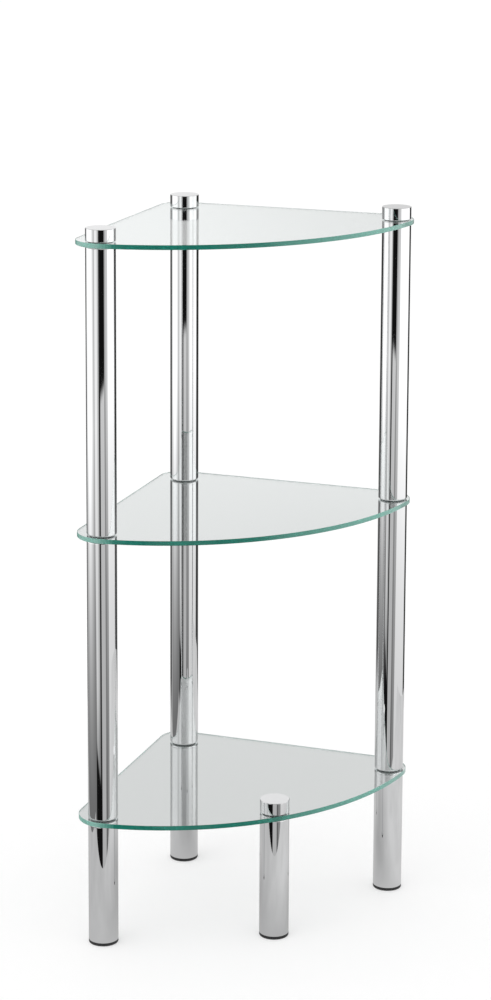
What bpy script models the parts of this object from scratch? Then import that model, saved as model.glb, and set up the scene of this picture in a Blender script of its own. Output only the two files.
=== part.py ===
"""Corner shelf unit: three quarter-round glass shelves clamped between chromed tube posts.

The unit stands on z = 0 with its box centred on the origin. The square corner of the shelves points to -X, +Y, so
their straight edges run along the two walls of a room and their round edges face into it.
"""
import math

import bmesh
import bpy

# Glass shelves
SHELF_RADIUS = 0.2985           # front arc, struck from the panel's square corner
SHELF_TIP_RADIUS = 0.033        # rounding where the front arc meets a straight edge
SHELF_CORNER_RADIUS = 0.024     # rounding of the square corner
GLASS_THICKNESS = 0.005
GLASS_ARRIS = 0.0005            # ground chamfer along the panel's edges

# Where the posts stand on the panels
POST_MARGIN = 0.0315            # straight edge to the axis of a post beside it
SIDE_POST_OVERHANG = 0.0032     # glass in front of a side post's tube
FRONT_LEG_OVERHANG = 0.0015     # glass in front of the front leg's tube

# Tubes
TUBE_RADIUS = 0.016
TUBE_WALL = 0.0012
TUBE_LENGTH = 0.305             # each tube between two shelves
LEG_LENGTH = 0.131              # each tube under the bottom shelf
TUBE_END_ROLL = 0.0025          # outer radius of a rolled-in end
TUBE_END_LIP = 0.001            # flat on the face of a rolled-in end

# Threaded pieces inside the posts
STUD_RADIUS = 0.004
STUD_CHAMFER = 0.0008
PLUG_LENGTH = 0.010

# Grommets between metal and glass
GROMMET_FLANGE = 0.0008         # thickness of the rim on either side of the glass
GROMMET_INSET = 0.0018          # rim drawn in from the tube's outer side
GROMMET_SLEEVE = 0.0012         # wall of the sleeve through the glass

# Caps and feet
CAP_HEIGHT = 0.014
CAP_ROOF = 0.004                # solid metal above the threaded hole
CAP_TOP_BEVEL = 0.0007
CAP_BOTTOM_BEVEL = 0.0004
FOOT_HEIGHT = 0.003             # part of the foot that shows below the tube
FOOT_EDGE = 0.0008
FOOT_SKIRT_LENGTH = 0.012       # part of the foot pushed into the tube
FOOT_SKIRT_WALL = 0.002

# Gap left between pieces that touch on the real unit
SEAT_GAP = 0.0003

# Facets
TUBE_SIDES = 24
INNER_SIDES = 12
GROMMET_SIDES = 16
FRONT_ARC_STEPS = 30
TIP_STEPS = 9
CORNER_STEPS = 6
SMOOTH_ANGLE = math.radians(40)
MERGE_DISTANCE = 1e-6


def bore_for(radius, sides):
    """Corner radius of a faceted hole whose flats clear a shaft of this radius by the seat gap."""
    return (radius + SEAT_GAP) / math.cos(math.pi / sides)


def shaft_for(radius, sides):
    """Radius of a shaft that clears the flats of a faceted hole of this corner radius by the seat gap."""
    return radius * math.cos(math.pi / sides) - SEAT_GAP


# Sizes that follow from the driving ones
BORE_RADIUS = TUBE_RADIUS - TUBE_WALL
PLUG_RADIUS = shaft_for(BORE_RADIUS, TUBE_SIDES)
PLUG_SETBACK = TUBE_END_ROLL + SEAT_GAP
SLEEVE_BORE = bore_for(STUD_RADIUS, GROMMET_SIDES)
SLEEVE_RADIUS = SLEEVE_BORE + GROMMET_SLEEVE
GLASS_HOLE_RADIUS = bore_for(SLEEVE_RADIUS, TUBE_SIDES)
CAP_HOLE_DEPTH = CAP_HEIGHT - CAP_ROOF

# Heights, from the floor up: each joint holds a glass panel between the rims of its grommets
JOINT_HEIGHT = GLASS_THICKNESS + 2 * GROMMET_FLANGE + 4 * SEAT_GAP
GLASS_IN_JOINT = GROMMET_FLANGE + 2 * SEAT_GAP
LEG_BASE = FOOT_HEIGHT + SEAT_GAP
BOTTOM_JOINT = LEG_BASE + LEG_LENGTH
LOWER_TUBE_BASE = BOTTOM_JOINT + JOINT_HEIGHT
MIDDLE_JOINT = LOWER_TUBE_BASE + TUBE_LENGTH
UPPER_TUBE_BASE = MIDDLE_JOINT + JOINT_HEIGHT
TOP_JOINT = UPPER_TUBE_BASE + TUBE_LENGTH
TOP_CAP_BASE = TOP_JOINT + JOINT_HEIGHT
FRONT_CAP_BASE = LOWER_TUBE_BASE

# Places of the posts in plan, measured from the panels' square corner
SIDE_REACH = SHELF_RADIUS - TUBE_RADIUS - SIDE_POST_OVERHANG
SIDE_POST = math.sqrt(SIDE_REACH ** 2 - POST_MARGIN ** 2)
FRONT_LEG = (SHELF_RADIUS - TUBE_RADIUS - FRONT_LEG_OVERHANG) / math.sqrt(2)
POSTS = {
    "left": (POST_MARGIN, -SIDE_POST),
    "corner": (POST_MARGIN, -POST_MARGIN),
    "right": (SIDE_POST, -POST_MARGIN),
}
FRONT = (FRONT_LEG, -FRONT_LEG)


def make_material(name, colour, roughness, metallic, transmission=0.0):
    material = bpy.data.materials.new(name)
    material.use_nodes = True
    shader = material.node_tree.nodes["Principled BSDF"]
    shader.inputs["Base Color"].default_value = (*colour, 1.0)
    shader.inputs["Roughness"].default_value = roughness
    shader.inputs["Metallic"].default_value = metallic
    shader.inputs["Transmission Weight"].default_value = transmission
    material.diffuse_color = (*colour, 1.0)
    return material


def make_empty(name, location, parent=None):
    empty = bpy.data.objects.new(name, None)
    empty.location = location
    empty.parent = parent
    bpy.context.scene.collection.objects.link(empty)
    return empty


def make_object(name, mesh, height, parent):
    """Place a mesh on its parent's axis at a height."""
    piece = bpy.data.objects.new(name, mesh)
    piece.location = (0.0, 0.0, height)
    piece.parent = parent
    bpy.context.scene.collection.objects.link(piece)
    return piece


def finish_mesh(bm, name, material):
    bmesh.ops.recalc_face_normals(bm, faces=bm.faces)
    mesh = bpy.data.meshes.new(name)
    bm.to_mesh(mesh)
    bm.free()
    mesh.materials.append(material)
    mesh.shade_smooth()
    mesh.set_sharp_from_angle(angle=SMOOTH_ANGLE)
    return mesh


def turned_mesh(name, profile, sides, material):
    """Spin (radius, height) points about Z. A profile off the axis closes on itself, one on the axis ends there."""
    bm = bmesh.new()
    points = [bm.verts.new((radius, 0.0, height)) for radius, height in profile]
    off_axis = all(radius > 0.0 for radius, _ in profile)
    following = points[1:] + points[:1] if off_axis else points[1:]
    edges = [bm.edges.new(pair) for pair in zip(points, following)]
    bmesh.ops.spin(bm, geom=points + edges, cent=(0, 0, 0), axis=(0, 0, 1), angle=math.tau, steps=sides)
    bmesh.ops.remove_doubles(bm, verts=bm.verts, dist=MERGE_DISTANCE)
    return finish_mesh(bm, name, material)


def rolled_end(height, inward):
    """Profile of a tube end rolled over its plug, from the outer side to the bore; inward is -1 at the top end."""
    shoulder = TUBE_RADIUS - TUBE_END_ROLL
    lip = shoulder - TUBE_END_LIP
    diagonal = TUBE_END_ROLL * math.sqrt(0.5)
    return [
        (TUBE_RADIUS, height + inward * TUBE_END_ROLL),
        (shoulder + diagonal, height + inward * (TUBE_END_ROLL - diagonal)),
        (shoulder, height),
        (lip, height),
        (lip, height + inward * TUBE_WALL),
        (BORE_RADIUS, height + inward * TUBE_END_ROLL),
    ]


def cut_end(height):
    """Profile of a tube end that is cut square, from the outer side to the bore."""
    return [(TUBE_RADIUS, height), (BORE_RADIUS, height)]


def tube_mesh(name, length, base_end, material):
    profile = rolled_end(length, -1) + base_end[::-1]
    return turned_mesh(name, profile, TUBE_SIDES, material)


def plug_mesh(material):
    bore = bore_for(STUD_RADIUS, INNER_SIDES)
    profile = [(PLUG_RADIUS, 0), (PLUG_RADIUS, PLUG_LENGTH), (bore, PLUG_LENGTH), (bore, 0)]
    return turned_mesh("tube_plug", profile, INNER_SIDES, material)


def stud_mesh(name, length, material):
    tip = STUD_RADIUS - STUD_CHAMFER
    profile = [
        (0, length),
        (tip, length),
        (STUD_RADIUS, length - STUD_CHAMFER),
        (STUD_RADIUS, STUD_CHAMFER),
        (tip, 0),
        (0, 0),
    ]
    return turned_mesh(name, profile, INNER_SIDES, material)


def grommet_mesh(material):
    """Clear ring with a groove: a rim on either side of the glass, joined by a sleeve through its hole."""
    rim = TUBE_RADIUS - GROMMET_INSET
    height = JOINT_HEIGHT - 2 * SEAT_GAP
    profile = [
        (rim, height),
        (rim, height - GROMMET_FLANGE),
        (SLEEVE_RADIUS, height - GROMMET_FLANGE),
        (SLEEVE_RADIUS, GROMMET_FLANGE),
        (rim, GROMMET_FLANGE),
        (rim, 0),
        (SLEEVE_BORE, 0),
        (SLEEVE_BORE, height),
    ]
    return turned_mesh("glass_grommet", profile, GROMMET_SIDES, material)


def cap_mesh(material):
    """Solid turned cap with a threaded hole from below."""
    bore = bore_for(STUD_RADIUS, TUBE_SIDES)
    profile = [
        (0, CAP_HEIGHT),
        (TUBE_RADIUS - CAP_TOP_BEVEL, CAP_HEIGHT),
        (TUBE_RADIUS, CAP_HEIGHT - CAP_TOP_BEVEL),
        (TUBE_RADIUS, CAP_BOTTOM_BEVEL),
        (TUBE_RADIUS - CAP_BOTTOM_BEVEL, 0),
        (bore, 0),
        (bore, CAP_HOLE_DEPTH),
        (0, CAP_HOLE_DEPTH),
    ]
    return turned_mesh("post_cap", profile, TUBE_SIDES, material)


def foot_mesh(material):
    """Moulded glide: a round pad under the tube and a hollow skirt pushed into its bore."""
    skirt = PLUG_RADIUS
    profile = [
        (0, FOOT_HEIGHT),
        (skirt - FOOT_SKIRT_WALL, FOOT_HEIGHT),
        (skirt - FOOT_SKIRT_WALL, FOOT_HEIGHT + FOOT_SKIRT_LENGTH),
        (skirt, FOOT_HEIGHT + FOOT_SKIRT_LENGTH),
        (skirt, FOOT_HEIGHT),
        (TUBE_RADIUS, FOOT_HEIGHT),
        (TUBE_RADIUS, FOOT_EDGE),
        (TUBE_RADIUS - FOOT_EDGE, 0),
        (0, 0),
    ]
    return turned_mesh("leg_foot", profile, TUBE_SIDES, material)


def arc(centre, radius, start, end, steps):
    """Points on an arc from one angle to another, both ends included."""
    angles = [start + (end - start) * i / steps for i in range(steps + 1)]
    return [(centre[0] + radius * math.cos(a), centre[1] + radius * math.sin(a)) for a in angles]


def shelf_outline():
    """Panel in plan, counter-clockwise, with its square corner at (0, 0) and its body towards +X and -Y."""
    tip = SHELF_TIP_RADIUS
    tip_along = math.sqrt((SHELF_RADIUS - tip) ** 2 - tip ** 2)
    tip_angle = math.atan2(tip, tip_along)
    quarter = math.pi / 2
    corner = arc((SHELF_CORNER_RADIUS, -SHELF_CORNER_RADIUS), SHELF_CORNER_RADIUS, quarter, math.pi, CORNER_STEPS)
    left_tip = arc((tip, -tip_along), tip, math.pi, 3 * quarter + tip_angle, TIP_STEPS)
    front = arc((0, 0), SHELF_RADIUS, -quarter + tip_angle, -tip_angle, FRONT_ARC_STEPS)
    right_tip = arc((tip_along, -tip), tip, -tip_angle, quarter, TIP_STEPS)
    return corner + left_tip[:-1] + front + right_tip[1:]


def shelf_mesh(outline, material):
    bm = bmesh.new()
    base = bm.faces.new([bm.verts.new((x, y, 0.0)) for x, y in outline])
    lifted = bmesh.ops.extrude_face_region(bm, geom=[base])["geom"]
    top = [item for item in lifted if isinstance(item, bmesh.types.BMVert)]
    bmesh.ops.translate(bm, verts=top, vec=(0, 0, GLASS_THICKNESS))
    return finish_mesh(bm, "glass_panel", material)


def drill_mesh(material):
    """Cutter for one line of holes, longer than the unit is tall."""
    end = TOP_CAP_BASE + CAP_HEIGHT
    profile = [(0, end), (GLASS_HOLE_RADIUS, end), (GLASS_HOLE_RADIUS, 0), (0, 0)]
    return turned_mesh("drill", profile, TUBE_SIDES, material)


def make_drill(name, mesh, axis):
    drill = make_object(name, mesh, 0.0, axis)
    drill.hide_render = True
    drill.display_type = "WIRE"
    return drill


def make_shelf(name, mesh, height, parent, drills):
    """A glass panel with ground edges and a hole for each post that passes it."""
    shelf = make_object(name, mesh, height, parent)
    ground = shelf.modifiers.new("arris", "BEVEL")
    ground.width = GLASS_ARRIS
    ground.segments = 1
    ground.limit_method = "ANGLE"
    ground.angle_limit = SMOOTH_ANGLE
    for drill in drills:
        hole = shelf.modifiers.new(drill.name, "BOOLEAN")
        hole.operation = "DIFFERENCE"
        hole.solver = "EXACT"
        hole.object = drill
    return shelf


def make_joint(post, level, height, meshes, stud, axis):
    """Grommet and stud that clamp one panel at one post, above the tube that ends at this height."""
    make_object(f"{post}_{level}_grommet", meshes["grommet"], height + SEAT_GAP, axis)
    make_object(f"{post}_{level}_stud", meshes[stud], height - PLUG_SETBACK - PLUG_LENGTH, axis)


def make_top_plug(name, tube_end, meshes, axis):
    make_object(name, meshes["plug"], tube_end - PLUG_SETBACK - PLUG_LENGTH, axis)


def make_leg(post, meshes, axis):
    """Foot, leg tube and plug under the bottom shelf, with the grommet's joint left to the post."""
    make_object(f"{post}_foot", meshes["foot"], 0.0, axis)
    make_object(f"{post}_leg_tube", meshes["leg"], LEG_BASE, axis)
    make_top_plug(f"{post}_leg_plug", BOTTOM_JOINT, meshes, axis)


def make_tube(post, part, base, meshes, axis):
    """A tube between two shelves with a plug in each end."""
    make_object(f"{post}_{part}_tube", meshes["tube"], base, axis)
    make_object(f"{post}_{part}_tube_bottom_plug", meshes["plug"], base + PLUG_SETBACK, axis)
    make_top_plug(f"{post}_{part}_tube_top_plug", base + TUBE_LENGTH, meshes, axis)


def make_post(post, meshes, axis):
    make_leg(post, meshes, axis)
    make_joint(post, "bottom", BOTTOM_JOINT, meshes, "tube_stud", axis)
    make_tube(post, "lower", LOWER_TUBE_BASE, meshes, axis)
    make_joint(post, "middle", MIDDLE_JOINT, meshes, "tube_stud", axis)
    make_tube(post, "upper", UPPER_TUBE_BASE, meshes, axis)
    make_joint(post, "top", TOP_JOINT, meshes, "cap_stud", axis)
    make_object(f"{post}_cap", meshes["cap"], TOP_CAP_BASE, axis)


def make_front_leg(meshes, axis):
    make_leg("front", meshes, axis)
    make_joint("front", "bottom", BOTTOM_JOINT, meshes, "cap_stud", axis)
    make_object("front_cap", meshes["cap"], FRONT_CAP_BASE, axis)


def make_meshes(outline):
    chrome = make_material("chrome", (0.86, 0.87, 0.88), 0.06, 1.0)
    glass = make_material("clear_glass", (0.82, 0.93, 0.90), 0.02, 0.0, 1.0)
    rubber = make_material("black_plastic", (0.018, 0.018, 0.019), 0.45, 0.0)
    zinc = make_material("zinc_steel", (0.56, 0.57, 0.58), 0.34, 1.0)
    clear = make_material("clear_plastic", (0.80, 0.83, 0.83), 0.22, 0.0, 0.6)
    in_tube = PLUG_SETBACK + PLUG_LENGTH
    tube_stud = JOINT_HEIGHT + 2 * in_tube
    cap_stud = JOINT_HEIGHT + in_tube + CAP_HOLE_DEPTH - SEAT_GAP
    return {
        "shelf": shelf_mesh(outline, glass),
        "drill": drill_mesh(glass),
        "tube": tube_mesh("shelf_tube", TUBE_LENGTH, rolled_end(0.0, 1), chrome),
        "leg": tube_mesh("leg_tube", LEG_LENGTH, cut_end(0.0), chrome),
        "cap": cap_mesh(chrome),
        "foot": foot_mesh(rubber),
        "plug": plug_mesh(zinc),
        "tube_stud": stud_mesh("tube_stud", tube_stud, zinc),
        "cap_stud": stud_mesh("cap_stud", cap_stud, zinc),
        "grommet": grommet_mesh(clear),
    }


def main():
    for old in list(bpy.data.objects):
        bpy.data.objects.remove(old, do_unlink=True)

    outline = shelf_outline()
    meshes = make_meshes(outline)
    half_width = max(x for x, _ in outline) / 2
    half_depth = -min(y for _, y in outline) / 2
    square_corner = make_empty("square_corner", (-half_width, half_depth, 0.0))

    drills = []
    for post, (x, y) in POSTS.items():
        axis = make_empty(f"{post}_axis", (x, y, 0.0), square_corner)
        make_post(post, meshes, axis)
        drills.append(make_drill(f"{post}_drill", meshes["drill"], axis))

    front_axis = make_empty("front_axis", (*FRONT, 0.0), square_corner)
    make_front_leg(meshes, front_axis)
    front_drill = make_drill("front_drill", meshes["drill"], front_axis)

    make_shelf("shelf_top", meshes["shelf"], TOP_JOINT + GLASS_IN_JOINT, square_corner, drills)
    make_shelf("shelf_middle", meshes["shelf"], MIDDLE_JOINT + GLASS_IN_JOINT, square_corner, drills)
    make_shelf("shelf_bottom", meshes["shelf"], BOTTOM_JOINT + GLASS_IN_JOINT, square_corner, drills + [front_drill])
    bpy.context.view_layer.update()


main()
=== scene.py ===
"""Looks of the corner shelf unit: turned metal, drilled glass and a plain white studio round them."""
import math
from collections import namedtuple

import bmesh
import bpy
import numpy as np
from mathutils import Matrix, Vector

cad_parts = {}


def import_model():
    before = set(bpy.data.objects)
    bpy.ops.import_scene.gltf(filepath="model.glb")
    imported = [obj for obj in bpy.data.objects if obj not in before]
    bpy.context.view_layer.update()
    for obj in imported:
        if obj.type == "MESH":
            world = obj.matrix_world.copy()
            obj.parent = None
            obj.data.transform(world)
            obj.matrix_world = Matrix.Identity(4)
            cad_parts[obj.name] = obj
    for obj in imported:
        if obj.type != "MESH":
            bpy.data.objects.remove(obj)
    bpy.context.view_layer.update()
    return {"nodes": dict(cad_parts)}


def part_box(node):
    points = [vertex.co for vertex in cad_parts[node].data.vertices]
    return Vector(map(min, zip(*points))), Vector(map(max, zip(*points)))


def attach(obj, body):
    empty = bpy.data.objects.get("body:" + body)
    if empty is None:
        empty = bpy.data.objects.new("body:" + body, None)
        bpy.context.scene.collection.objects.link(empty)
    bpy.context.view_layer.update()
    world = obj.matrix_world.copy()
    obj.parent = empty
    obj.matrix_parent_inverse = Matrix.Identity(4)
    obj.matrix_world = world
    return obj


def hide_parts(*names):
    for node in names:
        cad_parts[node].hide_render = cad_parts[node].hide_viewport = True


POSTS = ("left", "corner", "right")
LEVELS = ("bottom", "middle", "top")
QUARTER_TURN = math.pi / 2
SMOOTH_ANGLE = math.radians(35)
MERGE_DISTANCE = 1e-6
EVEN = (1.0, 1.0, 1.0)          # a texture that isn't stretched

# Glass panels
SHELF_RADIUS = 0.2985
SHELF_TIP_RADIUS = 0.033
SHELF_CORNER_RADIUS = 0.024
FRONT_ARC_STEPS = 120
TIP_STEPS = 28
CORNER_STEPS = 16
GLASS_ARRIS = 0.0004
GLASS_HOLE_RADIUS = 0.0060
DRILL_REACH = 0.1
FLAT_FACE = 0.99                # a face is flat where its normal points at least this much up or down

# Tint of the glass edges. Where the share of the deep tint drops, at the back, the tips and towards the
# right, light and reflections on the edges are painted in
EDGE_ATTRIBUTE = "ground_edge_with_painted_light"  # share of the deep tint that each face of a panel shows, lowered where painted light shows
GROUND_SHARE = 0.15             # share from which an edge is ground all over
BACK_EDGE_SHARE = 0.2
# Degrees round the panel from a straight side, and the share of the deep tint there; the lower shares are
# painted light
LEFT_EDGE_STOPS = ((0.0, BACK_EDGE_SHARE), (1.0, 0.53), (6.5, 0.53), (10.0, 1.0))
RIGHT_EDGE_STOPS = ((5.0, BACK_EDGE_SHARE), (8.0, 0.45), (52.0, 1.0))
EDGE_TINTS = (
    (0.0, (0.99, 0.995, 0.993)),                # clear face
    (BACK_EDGE_SHARE, (0.80, 0.97, 0.92)),
    (0.6, (0.28, 0.64, 0.54)),
    (1.0, (0.015, 0.24, 0.175)),                # front edge
)

# Turned pieces
TUBE_SIDES = 96
SMALL_SIDES = 48
SIDE_MARGIN = 0.0004            # ring beside a rounded end, so that the straight side mirrors straight
SEAM_REACH = 0.001              # how far tube ends and caps close over a grommet's rim, down to a thin seam
TUBE_WALL = 0.0012
TUBE_END_ROLL = 0.0016
TUBE_END_STEPS = 8
TUBE_END_LIP = 0.001
LEG_DEBURR = 0.0002
CAP_HEIGHT = 0.0134
CAP_TOP_ROUND = 0.0005
CAP_TOP_STEPS = 5
CAP_BOTTOM_ROUND = 0.0003
CAP_BOTTOM_STEPS = 4
CAP_HOLE_RADIUS = 0.0044
CAP_ROOF = 0.004
CAP_FACE_RINGS = (0.93, 0.75, 0.5, 0.25)        # shares of the cap's radius
FOOT_HEIGHT = 0.003
FOOT_EDGE = 0.0008
FOOT_EDGE_STEPS = 6
FOOT_SKIRT_WALL = 0.002
FOOT_SKIRT_CLEARANCE = 0.0004
SLEEVE_BORE = 0.0044
SLEEVE_RADIUS = 0.0055
GROMMET_FLANGE = 0.0008
GROMMET_RIM_STEPS = 4
RIM_CLEARANCE = 0.0003

# Camera, solved from the posts, caps, feet and glass edges
CAMERA_PLACE = (0.92744, -2.65801, 1.23018)
CAMERA_YAW = 0.3369
CAMERA_PITCH = 0.1714
CAMERA_ROLL = 0.0048
CAMERA_LENS = 96.72
CAMERA_SENSOR = 36.0
CAMERA_SHIFT = -0.25

# Light paths: metal between glass panels needs many
ALL_BOUNCES = 32
GLOSSY_BOUNCES = 24
TRANSMISSION_BOUNCES = 24

# Studio
FILL_LIGHT = 0.95
KEY_LIGHT = 0.5
KEY_SPREAD = math.radians(50)
KEY_TURN = (math.radians(28), math.radians(-24), 0.0)
PAPER_LEVEL = -0.0005
PAPER_REACH = 15.0
PAPER_WHITE = 0.98
PAPER_GLOW = 0.5                # share of the paper's white that it gives off as its own glow, painted light that makes the unit's shadow on it fainter
PAPER_SIDES = (1.2, 5.5)        # distances to either side of the camera's line over which the paper fades
PAPER_SIDE_TONE = 0.72
PAPER_NEAR_TONE = 0.62          # pale grey near the unit, a painted shade that glass and diffuse rays meet, and the distances over which it goes over to white
PAPER_NEAR_REACH = (0.1, 3.5)

# Light tent that the chrome mirrors, with azimuths in degrees from the camera's side towards the right
VIEW_AZIMUTH = math.radians(19.3)
TENT_RADIUS = 1.1
TENT_HEIGHT = 2.2
TENT_DEPTH = 0.6
TENT_SIDES = 96
SKIRT_RADIUS = 0.8              # the cloth leans in to this radius between two heights
SKIRT_HEIGHTS = (-0.05, 0.35)
CLOTH_UPPER_TONE = 0.84
CLOTH_LOWER_TONE = 0.42
CLOTH_BEND = (-0.1, 0.35)       # heights between which the lower tone goes over to the upper
CLOTH_RISE = 1.6
SEAM_BLUR = 1.2
LAMP = 1.2
BLACK = 0.006
# Sectors of the cloth: first and last azimuth, tone above the table, tone below it
TENT_SECTORS = (
    (-164.0, -126.5, 0.03, 0.10),   # gap beside the backdrop
    (-48.5, -32.5, 0.95, 0.60),     # front cloth
    (-31.5, -23.0, 0.57, 0.48),     # flap left of the opening
    (-23.0, -11.0, 0.03, 0.05),     # its fold, its shade painted in as near black
    (-11.0, 17.0, 0.64, 0.47),      # cloth below the opening
    (17.0, 28.0, 0.43, 0.15),       # flap right of the opening
    (28.0, 42.5, 0.63, 0.25),       # seam
    (44.0, 119.0, LAMP, 0.70),      # right lamp behind the cloth
    (121.5, 163.5, 0.03, 0.05),     # gap beside the backdrop
)
LEFT_CLOTH = (-124.0, -50.5)
LEFT_CLOTH_TONE = 0.17          # below the table
LEFT_SEAM_LEAN = 5.0            # degrees by which its seam leans towards the front on its way down
LEFT_SEAM_HEIGHTS = (0.0, 0.3)
LEFT_LAMP = (-90.0, 35.0)       # middle and spread of the lamp behind it
LEFT_LAMP_TONE = 1.56
HEM_SIDES = (-48.0, -12.1)      # where the cloth ends below the table and the dark room shows
HEM_HEIGHTS = (-0.048, -0.026)
HEM_MIDDLE = -35.0
HEM_DROP = 0.00225              # height it loses with each degree to the right
HEM_SHADE = 0.55                # tone just above the hem
HEM_SHADE_HEIGHTS = (-0.05, 0.06)
FOLD_SIDES = (17.0, 22.0)       # fold in the flap right of the opening, its shade painted in
FOLD_TOP = (0.35, 0.39)
FOLD_HEIGHTS = (-0.15, 0.0)
FOLD_TONES = (0.09, 0.25)
BACK_GAPS = (121.5, 164.0)      # azimuths to either side between which the gaps get lighter further up
BACK_GAP_TOP = (0.64, 0.9)
BACK_GAP_UPPER_TONE = 0.45
BACKDROP_EDGE = (163.0, 165.5)  # azimuths to either side past which the backdrop hangs
BACKDROP_TONES = (0.885, 0.70)
BACKDROP_TONE_SIDES = (-0.2, 0.25)
BACKDROP_TONE_HEIGHTS = (0.65, 0.92)
CROWN_HEIGHTS = (1.15, 1.3)
CROWN_TONE = 0.5
OPENING_SIDES = (-15.3, 17.5)
OPENING_HEIGHTS = (0.378, 1.0)
OPENING_BLUR = 0.015

# Table in the mirror images, with distances towards the camera and towards its right
TABLE_LEVEL = -0.0002
TABLE_FRONT = 0.312
TABLE_BACK = -0.65
TABLE_LEFT = -0.48
TABLE_TONES = (0.52, 0.65)
TABLE_TONE_SIDES = (-0.4, 0.4)
UNIT_SHADE = 0.72               # tone under the unit and how far from its middle it reaches
UNIT_SHADE_REACH = (0.03, 0.26)

RoundNode = namedtuple("RoundNode", "x y radius base height")


class Graph:
    """Short ways to add nodes to one node tree."""

    # Where a mix node has its colours, after the sockets for numbers and vectors
    FIRST_COLOUR = 6
    SECOND_COLOUR = 7
    MIXED_COLOUR = 2

    def __init__(self, tree):
        self.tree = tree

    def node(self, kind, **settings):
        made = self.tree.nodes.new(kind)
        for name, value in settings.items():
            setattr(made, name, value)
        return made

    def feed(self, socket, value):
        """Link a socket to another, or set it to a plain value."""
        if isinstance(value, bpy.types.NodeSocket):
            self.tree.links.new(value, socket)
        else:
            socket.default_value = value

    def math(self, operation, *values, clamp=False):
        """A number worked out from other numbers."""
        made = self.node("ShaderNodeMath", operation=operation, use_clamp=clamp)
        for socket, value in zip(made.inputs, values):
            self.feed(socket, value)
        return made.outputs[0]

    def fade(self, value, start, end, low=0.0, high=1.0):
        """Go smoothly from low at start to high at end."""
        made = self.node("ShaderNodeMapRange", interpolation_type="SMOOTHSTEP")
        self.feed(made.inputs["Value"], value)
        self.feed(made.inputs["From Min"], start)
        self.feed(made.inputs["From Max"], end)
        self.feed(made.inputs["To Min"], low)
        self.feed(made.inputs["To Max"], high)
        return made.outputs["Result"]

    def ramp(self, value, start, end):
        """Go evenly from 0 at start to 1 at end."""
        made = self.node("ShaderNodeMapRange")
        self.feed(made.inputs["Value"], value)
        self.feed(made.inputs["From Min"], start)
        self.feed(made.inputs["From Max"], end)
        return made.outputs["Result"]

    def length(self, across, along):
        """Distance of a point in a plane from the middle."""
        squares = self.math("ADD", self.math("POWER", across, 2.0), self.math("POWER", along, 2.0))
        return self.math("SQRT", squares)

    def both(self, first, second):
        """The share that two shares have in common."""
        return self.math("MULTIPLY", first, second)

    def band(self, value, start, end, soft):
        """1 from start to end and 0 outside, with soft sides."""
        rise = self.fade(value, start - soft, start + soft)
        fall = self.fade(value, end - soft, end + soft, 1.0, 0.0)
        return self.both(rise, fall)

    def bell(self, value, centre, width):
        """1 at a centre, falling off smoothly to either side."""
        way = self.math("DIVIDE", self.math("SUBTRACT", value, centre), width)
        square = self.math("POWER", self.math("ABSOLUTE", way), 2.0)
        return self.math("EXPONENT", self.math("MULTIPLY", square, -1.0))

    def blend(self, share, first, second):
        """A number that goes from first to second with the share."""
        made = self.node("ShaderNodeMix", data_type="FLOAT")
        self.feed(made.inputs["Factor"], share)
        self.feed(made.inputs["A"], first)
        self.feed(made.inputs["B"], second)
        return made.outputs["Result"]

    def tint(self, share, first, second):
        """A colour that goes from first to second with the share."""
        made = self.node("ShaderNodeMix", data_type="RGBA")
        self.feed(made.inputs["Factor"], share)
        self.feed(made.inputs[self.FIRST_COLOUR], (*first, 1.0))
        self.feed(made.inputs[self.SECOND_COLOUR], (*second, 1.0))
        return made.outputs[self.MIXED_COLOUR]

    def tints(self, value, stops):
        """A colour from a ramp of (place, colour) stops."""
        made = self.node("ShaderNodeValToRGB")
        self.feed(made.inputs["Fac"], value)
        stops_made = made.color_ramp.elements
        while len(stops_made) < len(stops):
            stops_made.new(1.0)
        for stop, (place, colour) in zip(stops_made, stops):
            stop.position = place
            stop.color = (*colour, 1.0)
        return made.outputs["Color"]

    def axes(self, kind):
        """X, Y and Z of one kind of texture coordinates."""
        made = self.node("ShaderNodeSeparateXYZ")
        self.feed(made.inputs["Vector"], self.node("ShaderNodeTexCoord").outputs[kind])
        return made.outputs

    def place(self, stretch=EVEN):
        """Object coordinates in metres, stretched along an axis by a factor below 1."""
        made = self.node("ShaderNodeMapping")
        self.feed(made.inputs["Vector"], self.node("ShaderNodeTexCoord").outputs["Object"])
        made.inputs["Scale"].default_value = stretch
        return made.outputs["Vector"]

    def noise(self, scale, detail, roughness, stretch=EVEN):
        """Clouds with values mostly between 0.3 and 0.7."""
        made = self.node("ShaderNodeTexNoise")
        self.feed(made.inputs["Vector"], self.place(stretch))
        made.inputs["Scale"].default_value = scale
        made.inputs["Detail"].default_value = detail
        made.inputs["Roughness"].default_value = roughness
        return made.outputs["Fac"]

    def bump(self, height, distance):
        """A normal that follows a height, which goes up to a distance in metres."""
        made = self.node("ShaderNodeBump")
        self.feed(made.inputs["Height"], height)
        made.inputs["Distance"].default_value = distance
        made.inputs["Strength"].default_value = 1.0
        return made.outputs["Normal"]

    def shader(self, kind, colour):
        """A plain shader of a colour."""
        made = self.node(kind)
        self.feed(made.inputs["Color"], colour)
        return made.outputs[0]

    def mix(self, share, first, second):
        """A shader that goes from first to second with the share."""
        made = self.node("ShaderNodeMixShader")
        for socket, value in zip(made.inputs, (share, first, second)):
            self.feed(socket, value)
        return made.outputs[0]

    def show(self, kind, shader):
        """End the tree with a shader in an output node."""
        self.feed(self.node(kind).inputs["Surface"], shader)


def new_material(name):
    """A Principled material with its graph and shader."""
    material = bpy.data.materials.new(name)
    material.use_nodes = True
    return material, Graph(material.node_tree), material.node_tree.nodes["Principled BSDF"]


def empty_material(name):
    """A material without nodes, with its graph."""
    material = bpy.data.materials.new(name)
    material.use_nodes = True
    material.node_tree.nodes.clear()
    return material, Graph(material.node_tree)


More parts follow.
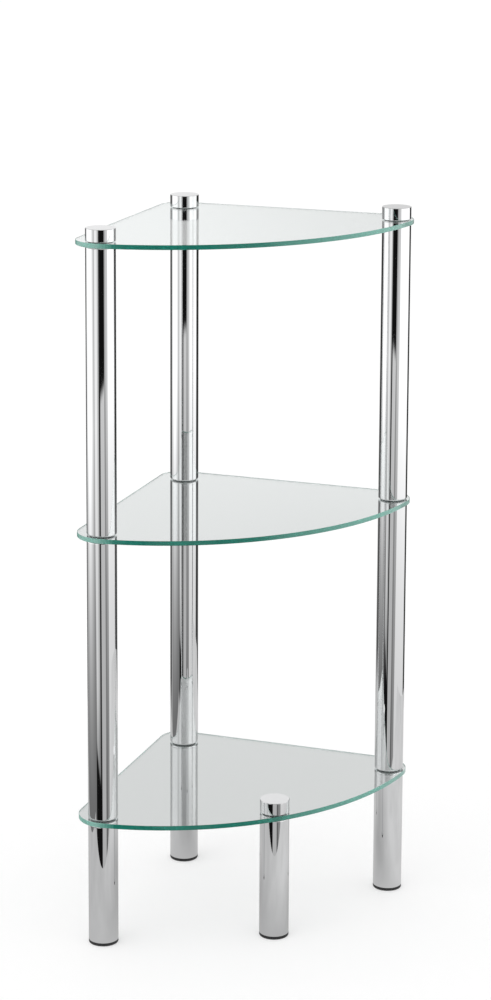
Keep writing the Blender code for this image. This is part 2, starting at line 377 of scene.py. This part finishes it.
def chrome_material():
    """Mirror plating on drawn tube: faint long waves from the drawing, wiped-on haze and polishing lines."""
    material, graph, shader = new_material("mirror_chrome")
    line_depth = 0.02           # against the depth of the waves
    haze = graph.noise(scale=55.0, detail=4.0, roughness=0.6, stretch=(1.0, 1.0, 0.35))
    lines = graph.noise(scale=900.0, detail=2.0, roughness=0.5, stretch=(1.0, 1.0, 0.02))
    waves = graph.noise(scale=38.0, detail=1.0, roughness=0.4, stretch=(1.0, 1.0, 0.18))
    shader.inputs["Metallic"].default_value = 1.0
    graph.feed(shader.inputs["Base Color"], graph.tint(haze, (0.86, 0.865, 0.875), (0.91, 0.912, 0.915)))
    graph.feed(shader.inputs["Roughness"], graph.fade(haze, start=0.3, end=0.8, low=0.015, high=0.05))
    surface = graph.math("ADD", graph.math("MULTIPLY", lines, line_depth), waves)
    graph.feed(shader.inputs["Normal"], graph.bump(surface, distance=0.00004))
    return material


def turned_top_material():
    """Chromed end face with the fine rings a lathe leaves."""
    material, graph, shader = new_material("turned_chrome")
    haze = graph.noise(scale=140.0, detail=4.0, roughness=0.6)
    rings = graph.node("ShaderNodeTexWave", wave_type="RINGS", rings_direction="Z", wave_profile="SIN")
    graph.feed(rings.inputs["Vector"], graph.place())
    rings.inputs["Scale"].default_value = 420.0
    rings.inputs["Distortion"].default_value = 0.6
    rings.inputs["Detail"].default_value = 2.0
    shader.inputs["Metallic"].default_value = 1.0
    graph.feed(shader.inputs["Base Color"], graph.tint(haze, (0.84, 0.845, 0.855), (0.93, 0.932, 0.935)))
    graph.feed(shader.inputs["Roughness"], graph.fade(haze, start=0.3, end=0.8, low=0.05, high=0.16))
    graph.feed(shader.inputs["Normal"], graph.bump(rings.outputs["Fac"], distance=0.000012))
    return material


def glass_material():
    """Clear float glass. Iron tints it green over a long way through, so the ground edges look deep teal. The
    tint is painted lighter at the back, the tips and the right, for light and reflections there.
    """
    material, graph, shader = new_material("float_glass")
    edge = graph.node("ShaderNodeAttribute", attribute_name=EDGE_ATTRIBUTE).outputs["Fac"]
    smear = graph.noise(scale=9.0, detail=3.0, roughness=0.55)
    grind = graph.noise(scale=700.0, detail=2.0, roughness=0.5)
    clearness = graph.fade(edge, start=0.0, end=GROUND_SHARE, low=1.0, high=0.4)
    polished = graph.fade(smear, start=0.5, end=0.8, low=0.0, high=0.012)
    ground = graph.fade(grind, start=0.3, end=0.7, low=0.12, high=0.22)
    satin = graph.fade(edge, start=0.0, end=GROUND_SHARE)
    shader.inputs["IOR"].default_value = 1.52
    graph.feed(shader.inputs["Transmission Weight"], clearness)
    # Edge tints from the attribute, painted lighter where light and reflections show on the edges
    graph.feed(shader.inputs["Base Color"], graph.tints(edge, EDGE_TINTS))
    graph.feed(shader.inputs["Roughness"], graph.blend(satin, polished, ground))
    absorb = graph.node("ShaderNodeVolumeAbsorption")
    absorb.inputs["Color"].default_value = (0.10, 0.67, 0.60, 1.0)
    absorb.inputs["Density"].default_value = 6.0
    output = material.node_tree.nodes["Material Output"]
    graph.feed(output.inputs["Volume"], absorb.outputs["Volume"])
    return material


def black_plastic_material():
    """Moulded glide with a fine eroded grain and scuffs."""
    material, graph, shader = new_material("moulded_black")
    grain = graph.noise(scale=2600.0, detail=2.0, roughness=0.5)
    scuff = graph.noise(scale=260.0, detail=4.0, roughness=0.6)
    graph.feed(shader.inputs["Base Color"], graph.tint(scuff, (0.010, 0.010, 0.011), (0.030, 0.030, 0.031)))
    graph.feed(shader.inputs["Roughness"], graph.fade(scuff, start=0.3, end=0.75, low=0.38, high=0.62))
    graph.feed(shader.inputs["Normal"], graph.bump(grain, distance=0.00006))
    return material


def zinc_material():
    """Zinc-plated thread stock: cool grey with a faint yellow and blue bloom."""
    material, graph, shader = new_material("zinc_plate")
    bloom = graph.noise(scale=170.0, detail=3.0, roughness=0.6)
    grain = graph.noise(scale=1800.0, detail=2.0, roughness=0.5)
    shader.inputs["Metallic"].default_value = 1.0
    graph.feed(shader.inputs["Base Color"], graph.tint(bloom, (0.50, 0.53, 0.58), (0.64, 0.62, 0.57)))
    graph.feed(shader.inputs["Roughness"], graph.fade(bloom, start=0.3, end=0.75, low=0.22, high=0.42))
    graph.feed(shader.inputs["Normal"], graph.bump(grain, distance=0.00003))
    return material


def clear_plastic_material():
    """Soft clear grommet, a little cloudy."""
    material, graph, shader = new_material("cloudy_plastic")
    cloud = graph.noise(scale=420.0, detail=3.0, roughness=0.55)
    shader.inputs["IOR"].default_value = 1.46
    shader.inputs["Transmission Weight"].default_value = 0.7
    graph.feed(shader.inputs["Base Color"], graph.tint(cloud, (0.55, 0.58, 0.58), (0.72, 0.74, 0.74)))
    graph.feed(shader.inputs["Roughness"], graph.fade(cloud, start=0.3, end=0.75, low=0.22, high=0.42))
    return material


def add_object(name, data):
    """A new object in the scene."""
    made = bpy.data.objects.new(name, data)
    bpy.context.scene.collection.objects.link(made)
    return made


def finish_mesh(bm, name, materials):
    """Turn a bmesh into a closed mesh with smooth sides, sharp edges and its materials."""
    bmesh.ops.remove_doubles(bm, verts=bm.verts, dist=MERGE_DISTANCE)
    bmesh.ops.recalc_face_normals(bm, faces=bm.faces)
    mesh = bpy.data.meshes.new(name)
    bm.to_mesh(mesh)
    bm.free()
    for material in materials:
        mesh.materials.append(material)
    mesh.shade_smooth()
    mesh.set_sharp_from_angle(angle=SMOOTH_ANGLE)
    return mesh


def quarter(centre_radius, centre_height, radius, start, steps):
    """Points of a turned profile on a quarter circle, counter-clockwise from an angle."""
    points = []
    for i in range(steps + 1):
        angle = start + QUARTER_TURN * i / steps
        points.append((centre_radius + radius * math.cos(angle), centre_height + radius * math.sin(angle)))
    return points


def turned_mesh(name, profile, sides, *materials):
    """Spin (radius, height) points about Z. A profile that stays off the axis closes on itself."""
    bm = bmesh.new()
    points = [bm.verts.new((radius, 0.0, height)) for radius, height in profile]
    off_axis = all(radius > 0.0 for radius, _ in profile)
    following = points[1:] + points[:1] if off_axis else points[1:]
    edges = [bm.edges.new(pair) for pair in zip(points, following)]
    bmesh.ops.spin(bm, geom=points + edges, cent=(0, 0, 0), axis=(0, 0, 1), angle=math.tau, steps=sides)
    return finish_mesh(bm, name, materials)


def measure(node):
    """Axis in plan, outer radius, base and height of a round CAD node."""
    low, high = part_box(node)
    middle_x = (low.x + high.x) / 2
    middle_y = (low.y + high.y) / 2
    return RoundNode(middle_x, middle_y, (high.x - low.x) / 2, low.z, high.z - low.z)


def take_place(piece, node):
    """Let a piece ride with the unit in a CAD node's stead."""
    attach(piece, "root")
    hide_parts(node)


def stand_for(node, mesh):
    """Put a mesh on a round CAD node's axis and base, in that node's stead."""
    solid = measure(node)
    piece = add_object(f"{node}_fine", mesh)
    piece.location = (solid.x, solid.y, solid.base)
    take_place(piece, node)


def mouth(radius):
    """Radius of the mouth that a tube's rolled end leaves, where a grommet's rim sits."""
    return radius - TUBE_END_ROLL - TUBE_END_LIP


def rolled_top(radius, height):
    """Outer side, rolled end and lip of a tube's upper end."""
    lip = mouth(radius)
    roll_start = height - TUBE_END_ROLL
    straight = [(radius, roll_start - SIDE_MARGIN)]
    outside = quarter(radius - TUBE_END_ROLL, roll_start, TUBE_END_ROLL, 0.0, TUBE_END_STEPS)
    inside = [(lip, height), (lip, height - TUBE_WALL), (radius - TUBE_WALL, roll_start)]
    return straight + outside + inside


def tube_mesh(node, material):
    """Tube with both ends rolled in."""
    tube = measure(node)
    upper = rolled_top(tube.radius, tube.height + SEAM_REACH)
    lower = [(radius, tube.height - height) for radius, height in reversed(upper)]
    return turned_mesh("fine_tube", lower + upper, TUBE_SIDES, material)


def leg_mesh(node, material):
    """Tube with its top rolled in and its lower end cut off square."""
    leg = measure(node)
    inner = leg.radius - TUBE_WALL
    foot_end = [
        (inner, LEG_DEBURR),
        (inner + LEG_DEBURR, 0.0),
        (leg.radius - LEG_DEBURR, 0.0),
        (leg.radius, LEG_DEBURR),
        (leg.radius, LEG_DEBURR + SIDE_MARGIN),
    ]
    upper = rolled_top(leg.radius, leg.height + SEAM_REACH)
    return turned_mesh("fine_leg", foot_end + upper, TUBE_SIDES, material)


def cap_mesh(node, side, face):
    """Turned cap with soft edges, a stud hole and a grommet seat; its end face has its own finish."""
    radius = measure(node).radius
    height = CAP_HEIGHT - SEAM_REACH
    roof = height - CAP_ROOF
    round_start = CAP_BOTTOM_ROUND - SEAM_REACH
    round_end = height - CAP_TOP_ROUND
    bore = [(0, roof), (CAP_HOLE_RADIUS, roof), (CAP_HOLE_RADIUS, 0)]
    seat = [(mouth(radius), 0), (mouth(radius), -SEAM_REACH)]
    foot = quarter(radius - CAP_BOTTOM_ROUND, round_start, CAP_BOTTOM_ROUND, -QUARTER_TURN, CAP_BOTTOM_STEPS)
    straight = [(radius, round_start + SIDE_MARGIN), (radius, round_end - SIDE_MARGIN)]
    rim = quarter(radius - CAP_TOP_ROUND, round_end, CAP_TOP_ROUND, 0.0, CAP_TOP_STEPS)
    rings = [(radius * share, height) for share in CAP_FACE_RINGS]
    profile = bore + seat + foot + straight + rim + rings + [(0, height)]
    mesh = turned_mesh("fine_cap", profile, TUBE_SIDES, side, face)
    for polygon in mesh.polygons:
        if polygon.center.z > height - MERGE_DISTANCE:
            polygon.material_index = 1
    return mesh


def foot_mesh(node, material):
    """Glide with a rounded lower edge and a skirt that goes up into the leg."""
    foot = measure(node)
    skirt = foot.radius - TUBE_WALL - FOOT_SKIRT_CLEARANCE
    inside = skirt - FOOT_SKIRT_WALL
    edge = quarter(foot.radius - FOOT_EDGE, FOOT_EDGE, FOOT_EDGE, -QUARTER_TURN, FOOT_EDGE_STEPS)
    profile = [(0, 0)] + edge + [
        (foot.radius, FOOT_EDGE + SIDE_MARGIN),
        (foot.radius, FOOT_HEIGHT),
        (skirt, FOOT_HEIGHT),
        (skirt, foot.height),
        (inside, foot.height),
        (inside, FOOT_HEIGHT),
        (0, FOOT_HEIGHT),
    ]
    return turned_mesh("fine_foot", profile, TUBE_SIDES, material)


def grommet_mesh(node, tube, material):
    """Clear ring with a groove for the glass and rounded rims that sit in the mouth of a tube."""
    height = measure(node).height
    rim = mouth(measure(tube).radius) - RIM_CLEARANCE
    nose = GROMMET_FLANGE / 2
    nose_height = height - nose
    upper = quarter(rim - nose, nose_height, nose, 0.0, GROMMET_RIM_STEPS)
    upper = [(r, 2 * nose_height - z) for r, z in reversed(upper)] + upper[1:]
    lower = [(r, height - z) for r, z in reversed(upper)]
    groove = [(SLEEVE_RADIUS, GROMMET_FLANGE), (SLEEVE_RADIUS, height - GROMMET_FLANGE)]
    profile = [(SLEEVE_BORE, 0)] + lower + groove + upper + [(SLEEVE_BORE, height)]
    return turned_mesh("fine_grommet", profile, SMALL_SIDES, material)


def arc(centre, radius, start, end, steps):
    """Points on an arc from one angle to another, both ends included."""
    angles = [start + (end - start) * i / steps for i in range(steps + 1)]
    return [(centre[0] + radius * math.cos(a), centre[1] + radius * math.sin(a)) for a in angles]


def straight_length():
    """How far from the square corner a straight back edge runs into its rounded tip."""
    return math.sqrt((SHELF_RADIUS - SHELF_TIP_RADIUS) ** 2 - SHELF_TIP_RADIUS ** 2)


def shelf_outline():
    """Panel in plan, counter-clockwise, with its square corner at (0, 0) and its body towards +X and -Y."""
    tip = SHELF_TIP_RADIUS
    tip_along = straight_length()
    tip_angle = math.atan2(tip, tip_along)
    inset = SHELF_CORNER_RADIUS
    corner = arc((inset, -inset), inset, QUARTER_TURN, math.pi, CORNER_STEPS)
    left_tip = arc((tip, -tip_along), tip, math.pi, 3 * QUARTER_TURN + tip_angle, TIP_STEPS)
    front = arc((0, 0), SHELF_RADIUS, -QUARTER_TURN + tip_angle, -tip_angle, FRONT_ARC_STEPS)
    right_tip = arc((tip_along, -tip), tip, -tip_angle, QUARTER_TURN, TIP_STEPS)
    return corner + left_tip[:-1] + front + right_tip[1:]


def panel_blank(thickness, material):
    """Glass panel with a ground chamfer round its outline, before drilling."""
    bm = bmesh.new()
    base = bm.faces.new([bm.verts.new((x, y, 0.0)) for x, y in shelf_outline()])
    lifted = bmesh.ops.extrude_face_region(bm, geom=[base])["geom"]
    top = [item for item in lifted if isinstance(item, bmesh.types.BMVert)]
    bmesh.ops.translate(bm, verts=top, vec=(0, 0, thickness))
    rims = [edge for edge in bm.edges if abs(edge.verts[0].co.z - edge.verts[1].co.z) < MERGE_DISTANCE]
    bmesh.ops.bevel(bm, geom=rims, offset=GLASS_ARRIS, segments=1, affect="EDGES")
    return finish_mesh(bm, "fine_panel", [material])


def drill(piece, places):
    """Cut a hole through a panel at each place in plan and keep the result as its mesh."""
    profile = [
        (0, -DRILL_REACH),
        (GLASS_HOLE_RADIUS, -DRILL_REACH),
        (GLASS_HOLE_RADIUS, DRILL_REACH),
        (0, DRILL_REACH),
    ]
    bit = turned_mesh("drill", profile, SMALL_SIDES, piece.data.materials[0])
    cutters = []
    for x, y in places:
        cutter = add_object("drill", bit)
        cutter.location = (x, y, piece.location.z)
        hole = piece.modifiers.new("hole", "BOOLEAN")
        hole.operation = "DIFFERENCE"
        hole.solver = "EXACT"
        hole.object = cutter
        cutters.append(cutter)
    bpy.context.view_layer.update()
    drilled = piece.evaluated_get(bpy.context.evaluated_depsgraph_get())
    mesh = bpy.data.meshes.new_from_object(drilled)
    piece.modifiers.clear()
    piece.data = mesh
    for cutter in cutters:
        bpy.data.objects.remove(cutter, do_unlink=True)


def edge_share(x, y):
    """How much of the deep tint an edge shows: least at the back and the tips, with little glass behind, and
    less towards the right. The lighter shares are painted light and reflections.
    """
    if math.hypot(x, y) < straight_length():
        return BACK_EDGE_SHARE
    left = math.degrees(math.atan2(x, -y))
    from_left = np.interp(left, *zip(*LEFT_EDGE_STOPS))
    from_right = np.interp(90.0 - left, *zip(*RIGHT_EDGE_STOPS))
    return min(from_left, from_right)


def mark_edges(mesh):
    """Note on each face of a panel how much of an edge's tint it shows."""
    ground = mesh.attributes.new(EDGE_ATTRIBUTE, "FLOAT", "FACE")
    for polygon in mesh.polygons:
        flat = abs(polygon.normal.z) > FLAT_FACE
        # A lower share paints light and reflections onto the edge
        share = 0.0 if flat else edge_share(polygon.center.x, polygon.center.y)
        ground.data[polygon.index].value = share


def make_shelf(level, material):
    """Drilled panel of one level in its CAD node's stead."""
    node = f"shelf_{level}"
    low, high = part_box(node)
    piece = add_object(f"{node}_fine", panel_blank(high.z - low.z, material))
    piece.location = (low.x, high.y, low.z)
    posts = POSTS + ("front",) if level == "bottom" else POSTS
    studs = [measure(f"{post}_{level}_stud") for post in posts]
    drill(piece, [(stud.x, stud.y) for stud in studs])
    piece.data.shade_smooth()
    piece.data.set_sharp_from_angle(angle=SMOOTH_ANGLE)
    mark_edges(piece.data)
    piece.visible_shadow = False        # else clear glass would shade like a solid
    take_place(piece, node)


def make_metal_and_plastic(frame):
    """Fine meshes for the pieces that show, and zinc on the solids inside."""
    chrome = chrome_material()
    tube = "left_upper_tube"
    fine = (
        (("upper_tube", "lower_tube"), tube_mesh(tube, chrome), "chrome"),
        ("leg_tube", leg_mesh("left_leg_tube", chrome), "chrome"),
        ("cap", cap_mesh("left_cap", chrome, turned_top_material()), "chrome"),
        ("foot", foot_mesh("left_foot", black_plastic_material()), "black_plastic"),
        ("grommet", grommet_mesh("left_top_grommet", tube, clear_plastic_material()), "clear_plastic"),
    )
    zinc = zinc_material()
    for node, cad in frame["nodes"].items():
        for ending, mesh, slot in fine:
            if node.endswith(ending):
                stand_for(node, mesh)
        if node.endswith(("plug", "stud")):
            cad.data.materials.clear()
            cad.data.materials.append(zinc)


def to_the_right(graph, x, y):
    """How far to the camera's right a place is from the line of sight."""
    return graph.math("ADD", graph.math("MULTIPLY", x, math.cos(VIEW_AZIMUTH)),
                      graph.math("MULTIPLY", y, math.sin(VIEW_AZIMUTH)))


def to_the_front(graph, x, y):
    """How far a place is towards the camera."""
    return graph.math("SUBTRACT", graph.math("MULTIPLY", x, math.sin(VIEW_AZIMUTH)),
                      graph.math("MULTIPLY", y, math.cos(VIEW_AZIMUTH)))


def side_tone(graph, x, y, sides):
    """White along the line of sight, and greyer far to either side, so that bright metal stands out."""
    aside = graph.math("ABSOLUTE", to_the_right(graph, x, y))
    return graph.fade(aside, *sides, 1.0, PAPER_SIDE_TONE)


def cloth_tone(graph, azimuth, z):
    """Tone of the cloth by its sectors, from below the table up the wall."""
    upper = CLOTH_UPPER_TONE
    lower = CLOTH_LOWER_TONE
    for start, end, upper_tone, lower_tone in TENT_SECTORS:
        inside = graph.band(azimuth, start, end, SEAM_BLUR)
        upper = graph.blend(inside, upper, upper_tone)
        lower = graph.blend(inside, lower, lower_tone)
    lean = graph.fade(z, *LEFT_SEAM_HEIGHTS, LEFT_SEAM_LEAN, 0.0)
    left = graph.band(graph.math("SUBTRACT", azimuth, lean), *LEFT_CLOTH, SEAM_BLUR)
    lamp = graph.math("MULTIPLY", graph.bell(azimuth, *LEFT_LAMP), LEFT_LAMP_TONE)
    upper = graph.blend(left, upper, lamp)
    lower = graph.blend(left, lower, LEFT_CLOTH_TONE)
    rise = graph.math("POWER", graph.ramp(z, *CLOTH_BEND), CLOTH_RISE)
    return graph.math("MINIMUM", graph.blend(rise, lower, upper), LAMP)


def with_hem(graph, tone, azimuth, z):
    """A tone with the shaded hem of the cloth, and the dark room below it."""
    hem = graph.band(azimuth, *HEM_SIDES, SEAM_BLUR)
    shade = graph.fade(z, *HEM_SHADE_HEIGHTS, HEM_SHADE, 1.0)
    tone = graph.math("MULTIPLY", tone, graph.blend(hem, 1.0, shade))
    drop = graph.math("MULTIPLY", graph.math("SUBTRACT", azimuth, HEM_MIDDLE), HEM_DROP)
    below = graph.fade(graph.math("ADD", z, drop), *HEM_HEIGHTS, 1.0, 0.0)
    return graph.blend(graph.both(hem, below), tone, BLACK)


def with_fold(graph, tone, azimuth, z):
    """A tone with the dark fold right of the opening, its shade painted in."""
    fold = graph.both(graph.band(azimuth, *FOLD_SIDES, SEAM_BLUR), graph.fade(z, *FOLD_TOP, 1.0, 0.0))
    return graph.blend(fold, tone, graph.fade(z, *FOLD_HEIGHTS, *FOLD_TONES))


def with_backdrop(graph, tone, azimuth, right, z):
    """A tone with gaps that lighten further up, and between them a backdrop that darkens to the right."""
    aside = graph.math("ABSOLUTE", azimuth)
    upper_gaps = graph.both(graph.band(aside, *BACK_GAPS, SEAM_BLUR), graph.fade(z, *BACK_GAP_TOP))
    tone = graph.blend(upper_gaps, tone, BACK_GAP_UPPER_TONE)
    behind = graph.both(graph.fade(aside, *BACKDROP_EDGE), graph.fade(z, *BACKDROP_TONE_HEIGHTS))
    return graph.blend(behind, tone, graph.fade(right, *BACKDROP_TONE_SIDES, *BACKDROP_TONES))


def tent_tone(graph, x, y, z):
    """How bright the tent is at a place on its wall."""
    right = to_the_right(graph, x, y)
    azimuth = graph.math("DEGREES", graph.math("ARCTAN2", right, to_the_front(graph, x, y)))
    tone = cloth_tone(graph, azimuth, z)
    tone = with_hem(graph, tone, azimuth, z)
    tone = with_fold(graph, tone, azimuth, z)
    tone = with_backdrop(graph, tone, azimuth, right, z)
    tone = graph.blend(graph.fade(z, *CROWN_HEIGHTS), tone, CROWN_TONE)
    opening_sides = graph.band(azimuth, *OPENING_SIDES, SEAM_BLUR)
    opening = graph.both(opening_sides, graph.band(z, *OPENING_HEIGHTS, OPENING_BLUR))
    return graph.blend(opening, tone, BLACK)


def table_tone(graph, x, y, _z):
    """How bright the table is: shaded under the unit, lighter towards the right and faintly mottled."""
    right = to_the_right(graph, x, y)
    shade = graph.fade(graph.length(x, y), *UNIT_SHADE_REACH, UNIT_SHADE, 1.0)
    top = graph.math("MULTIPLY", shade, graph.fade(right, *TABLE_TONE_SIDES, *TABLE_TONES))
    clouds = graph.noise(scale=6.0, detail=3.0, roughness=0.5)
    return graph.math("MULTIPLY", top, graph.fade(clouds, start=0.3, end=0.7, low=0.94, high=1.06))


def mirrored_material(name, tone_at):
    """A glow in mirror images. What glass shows straight through stays plain white."""
    material, graph = empty_material(name)
    material.cycles.emission_sampling = "NONE"
    glow = graph.shader("ShaderNodeEmission", tone_at(graph, *graph.axes("Object")))
    clear = graph.node("ShaderNodeBsdfTransparent").outputs[0]
    mirrored = graph.math("MINIMUM", graph.node("ShaderNodeLightPath").outputs["Glossy Depth"], 1.0)
    graph.show("ShaderNodeOutputMaterial", graph.mix(mirrored, clear, glow))
    return material


def stage_mirrored(name, mesh):
    """Put a mesh round the unit that only mirror images show."""
    thing = add_object(name, mesh)
    thing.visible_camera = False
    thing.visible_diffuse = False
    thing.visible_shadow = False
    thing.visible_volume_scatter = False
    return thing


def make_tent():
    """Cloth all round the unit, from the ceiling to below the table's edge."""
    material = mirrored_material("tent_cloth", tent_tone)
    skirt_end, wall_start = SKIRT_HEIGHTS
    profile = [
        (0, -TENT_DEPTH),
        (SKIRT_RADIUS, -TENT_DEPTH),
        (SKIRT_RADIUS, skirt_end),
        (TENT_RADIUS, wall_start),
        (TENT_RADIUS, TENT_HEIGHT),
        (0, TENT_HEIGHT),
    ]
    stage_mirrored("light_tent", turned_mesh("light_tent", profile, TENT_SIDES, material))


def make_table():
    """Table that the unit stands on in its mirror images, with open floor before it and to its left."""
    material = mirrored_material("table_top", table_tone)
    corners = (
        (TABLE_LEFT, TABLE_BACK),
        (TABLE_LEFT, TABLE_FRONT),
        (TENT_RADIUS, TABLE_FRONT),
        (TENT_RADIUS, TABLE_BACK),
    )
    bm = bmesh.new()
    verts = []
    for right, ahead in corners:
        x = right * math.cos(VIEW_AZIMUTH) + ahead * math.sin(VIEW_AZIMUTH)
        y = right * math.sin(VIEW_AZIMUTH) - ahead * math.cos(VIEW_AZIMUTH)
        verts.append(bm.verts.new((x, y, 0.0)))
    bm.faces.new(verts)
    table = stage_mirrored("light_table", finish_mesh(bm, "light_table", [material]))
    table.location.z = TABLE_LEVEL


def make_world():
    """White to the camera, in mirror images and through glass, and an even fill for everything else."""
    world = bpy.data.worlds.new("studio")
    bpy.context.scene.world = world
    world.use_nodes = True
    world.node_tree.nodes.clear()
    graph = Graph(world.node_tree)
    path = graph.node("ShaderNodeLightPath").outputs
    seen = graph.math("ADD", path["Is Camera Ray"], path["Is Transmission Ray"])
    seen = graph.math("ADD", seen, path["Is Glossy Ray"], clamp=True)
    x, y, _ = graph.axes("Generated")
    sky = side_tone(graph, x, y, [side / PAPER_REACH for side in PAPER_SIDES])
    background = graph.shader("ShaderNodeBackground", graph.blend(seen, FILL_LIGHT, sky))
    graph.show("ShaderNodeOutputWorld", background)


def paper_material():
    """White paper that keeps the unit's shadow, made fainter by its own painted glow; glass and diffuse rays
    meet it as pale grey near the unit, a painted shade.
    """
    material, graph = empty_material("white_paper")
    x, y, _ = graph.axes("Object")
    tone = side_tone(graph, x, y, PAPER_SIDES)
    # Grey near the unit is painted shade
    grey = graph.fade(graph.length(x, y), *PAPER_NEAR_REACH, PAPER_NEAR_TONE, 1.0)
    pale = graph.shader("ShaderNodeEmission", graph.math("MULTIPLY", tone, grey))
    white = graph.shader("ShaderNodeBsdfDiffuse", graph.math("MULTIPLY", tone, PAPER_WHITE))
    # The paper's own glow paints light into the unit's shadow
    glow = graph.shader("ShaderNodeEmission", tone)
    path = graph.node("ShaderNodeLightPath").outputs
    indirect = graph.math("MAXIMUM", path["Is Transmission Ray"], path["Is Diffuse Ray"])
    paper = graph.mix(indirect, graph.mix(PAPER_GLOW, white, glow), pale)
    graph.show("ShaderNodeOutputMaterial", paper)
    return material


def make_floor():
    """Wide sheet of paper under the unit, which mirror images show as the table instead."""
    bm = bmesh.new()
    bmesh.ops.create_grid(bm, x_segments=1, y_segments=1, size=PAPER_REACH)
    mesh = bpy.data.meshes.new("paper")
    bm.to_mesh(mesh)
    bm.free()
    mesh.materials.append(paper_material())
    floor = add_object("paper_floor", mesh)
    floor.location.z = PAPER_LEVEL
    floor.visible_glossy = False


def make_key_light():
    """Broad light from above, which shows in no mirror image and through no glass."""
    light = bpy.data.lights.new("key", "SUN")
    light.energy = KEY_LIGHT
    light.angle = KEY_SPREAD
    lamp = add_object("key", light)
    lamp.rotation_euler = KEY_TURN
    lamp.visible_glossy = False
    lamp.visible_transmission = False


def make_camera():
    """Camera at the photo's viewing angle."""
    data = bpy.data.cameras.new("camera")
    data.lens = CAMERA_LENS
    data.sensor_width = CAMERA_SENSOR
    data.shift_y = CAMERA_SHIFT
    camera = add_object("camera", data)
    turn = Matrix.Rotation(CAMERA_YAW, 4, "Z") @ Matrix.Rotation(QUARTER_TURN - CAMERA_PITCH, 4, "X")
    camera.matrix_world = Matrix.Translation(CAMERA_PLACE) @ turn @ Matrix.Rotation(CAMERA_ROLL, 4, "Z")
    bpy.context.scene.camera = camera


def main():
    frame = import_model()
    scene = bpy.context.scene
    scene.view_settings.view_transform = "Standard"
    scene.cycles.max_bounces = ALL_BOUNCES
    scene.cycles.glossy_bounces = GLOSSY_BOUNCES
    scene.cycles.transmission_bounces = TRANSMISSION_BOUNCES

    make_metal_and_plastic(frame)
    glass = glass_material()
    for level in LEVELS:
        make_shelf(level, glass)
    make_world()
    make_tent()
    make_table()
    make_floor()
    make_key_light()
    make_camera()


main()
